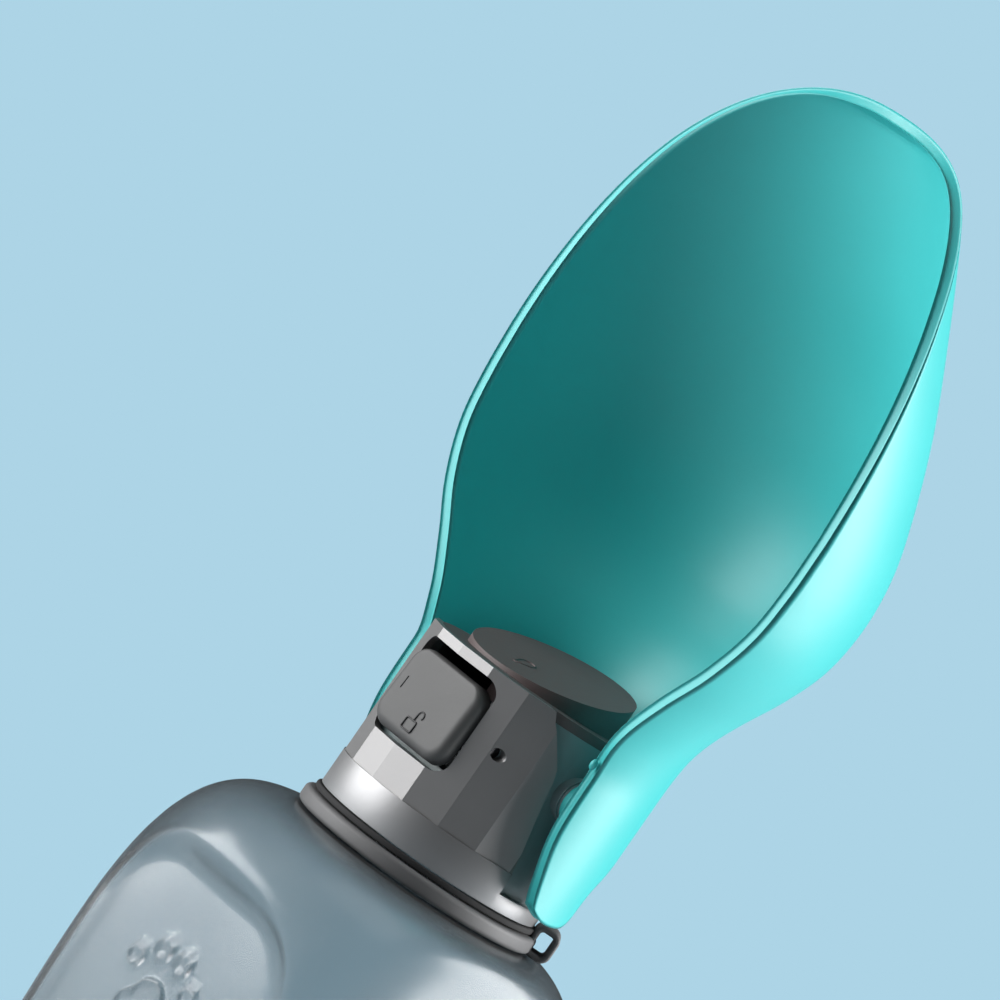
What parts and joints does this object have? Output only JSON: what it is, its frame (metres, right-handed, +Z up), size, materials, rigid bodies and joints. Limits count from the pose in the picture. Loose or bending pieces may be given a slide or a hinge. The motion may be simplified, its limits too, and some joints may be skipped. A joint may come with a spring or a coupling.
{
  "type": "dog travel water bottle",
  "caption": "Clear squeeze bottle with a screw-on head, rocker button, hooded water outlet, strap ring and a scoop-shaped drinking bowl that swings over the head.",
  "frame": {"origin": "centre of the bottle's base", "axes": "+Z up along the bottle, the rocker button faces -Y, the bowl's pivots lie along X"},
  "size_m": [0.0872, 0.082, 0.2995],
  "materials": {
    "clear_plastic": "clear grey-blue moulded plastic",
    "dark_plastic": "dark grey moulded plastic",
    "grey_plastic": "satin grey moulded plastic",
    "inner_plastic": "pale moulded plastic inside the head",
    "bowl_silicone": "turquoise smooth silicone",
    "seal_silicone": "pale silicone",
    "oring_rubber": "black rubber",
    "steel": "stainless steel"
  },
  "bodies": {
    "bottle": {"bottle_body": "clear_plastic"},
    "strap": {"strap_ring": "dark_plastic"},
    "gasket": {"neck_gasket": "seal_silicone"},
    "head": {"cap_core": "dark_plastic", "collar": "grey_plastic", "head_shell": "grey_plastic", "outlet_hood": "dark_plastic", "hood_screws": "steel", "tube_o_rings": "oring_rubber", "button_pin": "steel", "bowl_pins": "steel", "valve_spring": "steel", "brake_washers": "seal_silicone"},
    "button": {"button": "grey_plastic"},
    "valve": {"valve_tube": "inner_plastic", "valve_plate": "inner_plastic", "valve_seal": "seal_silicone"},
    "bowl": {"bowl": "bowl_silicone", "bowl_hubs": "bowl_silicone"}
  },
  "joints": [
    {"name": "strap_swivel", "type": "hinge", "parent": "bottle", "child": "strap", "pos_m": [0, 0, 0.152], "axis": [0, 0, 1], "continuous": true},
    {"name": "head_rise", "type": "slide", "parent": "bottle", "child": "gasket", "axis": [0, 0, 1], "range_m": [0, 0.0045]},
    {"name": "head_unscrew", "type": "hinge", "parent": "gasket", "child": "head", "pos_m": [0, 0, 0.16], "axis": [0, 0, 1], "range_deg": [0, 540]},
    {"name": "button_rock", "type": "hinge", "parent": "head", "child": "button", "pos_m": [0, -0.015, 0.1766], "axis": [1, 0, 0], "range_deg": [0, 8]},
    {"name": "valve_lift", "type": "slide", "parent": "head", "child": "valve", "axis": [0, 0, 1], "range_m": [0, 0.00209], "deforming": ["valve_spring"]},
    {"name": "bowl_swing", "type": "hinge", "parent": "head", "child": "bowl", "pos_m": [0, 0, 0.1768], "axis": [1, 0, 0], "range_deg": [0, 154]}
  ],
  "couplings": [
    {"joint": "head_unscrew", "follows": "head_rise", "rad_per_m": 2094.4},
    {"joint": "button_rock", "follows": "valve_lift", "rad_per_m": 66.667}
  ]
}
